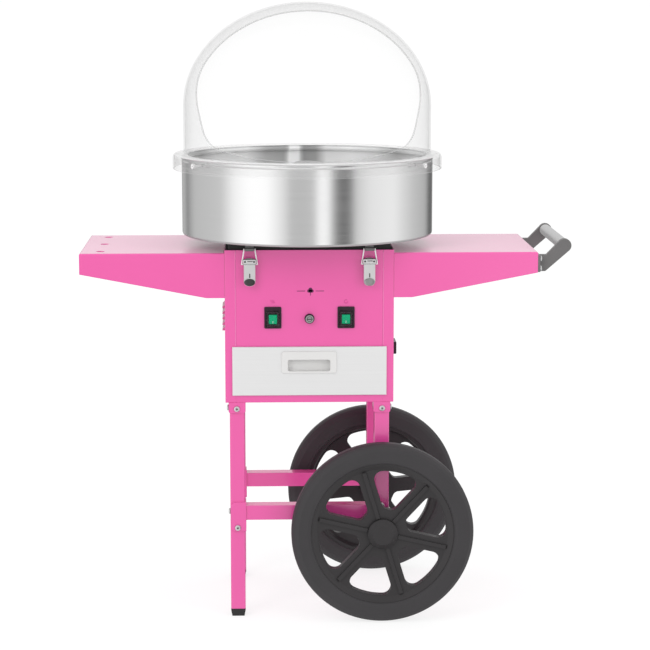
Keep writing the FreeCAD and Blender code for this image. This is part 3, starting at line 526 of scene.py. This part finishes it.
# Floss on a stick between two bars, printed on the panel.
case_low, case_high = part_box("machine_case")
badge_x, badge_z = AXIS_X + 2 * mm, case_high.z - 84 * mm
for k, (dx, dz, r) in enumerate(((0, 3.6, 4.0), (-3.4, 0.6, 3.2), (3.4, 0.6, 3.2), (0, 0.2, 3.4))):
    disc("badge_cloud_%d" % k, (badge_x + dx * mm, panel_y - 0.06 * mm, badge_z + dz * mm), r * mm,
         0.2 * mm, PRINT, "cart", 0.05 * mm)
block("badge_stick", (badge_x, panel_y - 0.06 * mm, badge_z - 5.6 * mm),
      (1.3 * mm, 0.2 * mm, 6.0 * mm), PRINT, "cart", 0.05 * mm)
for k in (-1, 1):
    block("badge_bar_%s" % ("left" if k < 0 else "right"),
          (badge_x + k * 19 * mm, panel_y - 0.06 * mm, badge_z + 0.6 * mm),
          (17 * mm, 0.2 * mm, 1.3 * mm), PRINT, "cart", 0.05 * mm)

# Fold of each corner post where the panel meets it: a narrow strip of lighter pink, a painted highlight
# where the rounded edge catches the light.
for k, x in ((-1, case_low.x), (1, case_high.x)):
    block("post_fold_%s" % ("left" if k < 0 else "right"),
          (x + k * 0.9 * mm, panel_y - 0.1 * mm, (case_low.z + case_high.z) / 2),
          (1.3 * mm, 0.5 * mm, case_high.z - case_low.z - 4 * mm), FOLD_PAINTED_HIGHLIGHT, "cart", 0.2 * mm)

# Painted highlight on each collar screw's head: a near-white ring where the head catches the light.
collar_low, collar_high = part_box("dome_collar")
screw_z = middle("collar_screws")[0].z
head_reach = (collar_high.x - collar_low.x) / 2 + 3.6 * mm
for k, degrees in enumerate((34, 146, 214, 326)):
    a = math.radians(degrees)
    hoop("collar_screw_painted_highlight_%d" % k,
         (AXIS_X + head_reach * math.cos(a), head_reach * math.sin(a), screw_z),
         3.4 * mm, 1.0 * mm, GLINT, "dome", 0.4, turn=a + math.pi / 2)


# ---- studio ----------------------------------------------------------------------------------
def material_floor():
    """Lit white sweep: mostly its own light, so that shadows on it stay faint."""
    t = Tree("studio_floor")
    cloud = t.noise(t.coords(), 2.0, 2.0)
    sheet = t.add("BsdfDiffuse", Color=t.mix(cloud, grey(0.80), grey(0.84)))
    glow = t.add("Emission", Color=grey(1.0), Strength=1.13)
    t.tree.links.new(t.blend(0.68, sheet.outputs["BSDF"], glow.outputs["Emission"]),
                     t.out.inputs["Surface"])
    return t.mat


SWEEP = 6000            # metres, so that the floor has no visible edge
bpy.ops.mesh.primitive_plane_add(size=SWEEP, location=(0, 0, 0))
floor = bpy.context.object
floor.name = "studio_floor"
floor.data.materials.append(material_floor())
floor.visible_glossy = False

scene = bpy.context.scene
scene.view_settings.view_transform = "Standard"

# White room for the eye and for soft light; shiny things see panels, stands and gaps round it,
# listed from behind on the left, past the camera at the middle, to behind on the right.
ROOM = ((0, 0.40), (22, 0.50), (35, 0.26), (42, 0.40), (52, 0.55), (92, 0.62), (98, 0.76),
        (108, 1.02), (122, 1.16), (140, 1.16), (149, 0.98), (158, 0.76), (162, 0.54),
        (183, 0.56), (188, 1.12), (196, 1.12), (200, 0.46), (205, 0.18), (212, 0.13),
        (217, 0.26), (222, 0.70), (236, 0.88), (262, 0.95), (274, 0.78), (290, 0.60),
        (314, 0.48), (326, 0.14), (336, 0.12), (345, 0.40), (360, 0.40))
ROOM_TURN = 1.5         # degrees that every stop but the ends is turned by
BEHIND = 2.5            # radians from straight ahead, past which the room behind starts
sky = Tree("studio_world", world=True)
view = sky.add("SeparateXYZ")
sky.put(view.inputs[0], sky.add("TexCoord").outputs["Generated"])
round_room = sky.math("ARCTAN2", view.outputs["X"], sky.math("MULTIPLY", view.outputs["Y"], -1.0))
turn = sky.math("MULTIPLY_ADD", round_room, 0.5 / math.pi, 0.5)
panels = sky.ramp(turn, [((a + ROOM_TURN) / 360 if 0 < a < 360 else a / 360, v) for a, v in ROOM])
up = view.outputs["Z"]
behind = sky.math("MULTIPLY", sky.span(sky.math("GREATER_THAN", sky.math("ABSOLUTE", round_room), BEHIND),
                                       0.0, 1.0),
                  sky.math("MULTIPLY", sky.math("SUBTRACT", up, 0.02), 14.0))
behind.node.use_clamp = True
overhead = sky.math("MULTIPLY", sky.math("SUBTRACT", up, 0.35), 4.0)
overhead.node.use_clamp = True
room = sky.mix(sky.math("MAXIMUM", behind, overhead), panels, grey(0.80))
path = sky.add("LightPath")
seen = sky.mix(path.outputs["Is Glossy Ray"], grey(0.97), room)
seen = sky.mix(path.outputs["Is Camera Ray"], seen, grey(1.05))
light = sky.add("Background", Color=seen, Strength=1.0)
sky.tree.links.new(light.outputs["Background"], sky.out.inputs["Surface"])
scene.world = sky.mat


def softbox(name, place, target, size, power):
    lamp = bpy.data.lights.new(name, "AREA")
    lamp.shape = "RECTANGLE"
    lamp.size, lamp.size_y = size
    lamp.energy = power
    obj = bpy.data.objects.new(name, lamp)
    scene.collection.objects.link(obj)
    obj.location = place
    look = Vector(target) - Vector(place)
    obj.rotation_euler = look.to_track_quat("-Z", "Y").to_euler()
    obj.visible_glossy = False
    return obj


softbox("key", (-1.8, -2.4, 2.6), (0, 0, 0.7), (1.2, 1.8), 22)
softbox("fill", (2.4, -2.2, 1.6), (0, 0, 0.6), (1.0, 2.0), 12)
softbox("top", (0, -0.3, 3.4), (0, 0, 0.6), (2.4, 1.6), 14)

# ---- camera ----------------------------------------------------------------------------------
aim = Vector((0.0022, 0.0, 0.583))
azimuth, elevation, distance = math.radians(-1.94), math.radians(9.10), 4.3674
back = Vector((math.sin(azimuth) * math.cos(elevation), -math.cos(azimuth) * math.cos(elevation),
               math.sin(elevation)))
camera_data = bpy.data.cameras.new("camera")
camera_data.lens = 115.0
camera_data.sensor_width = 36.0
camera = bpy.data.objects.new("camera", camera_data)
camera.location = aim + back * distance
camera.rotation_euler = (-back).to_track_quat("-Z", "Y").to_euler()
scene.collection.objects.link(camera)
scene.camera = camera
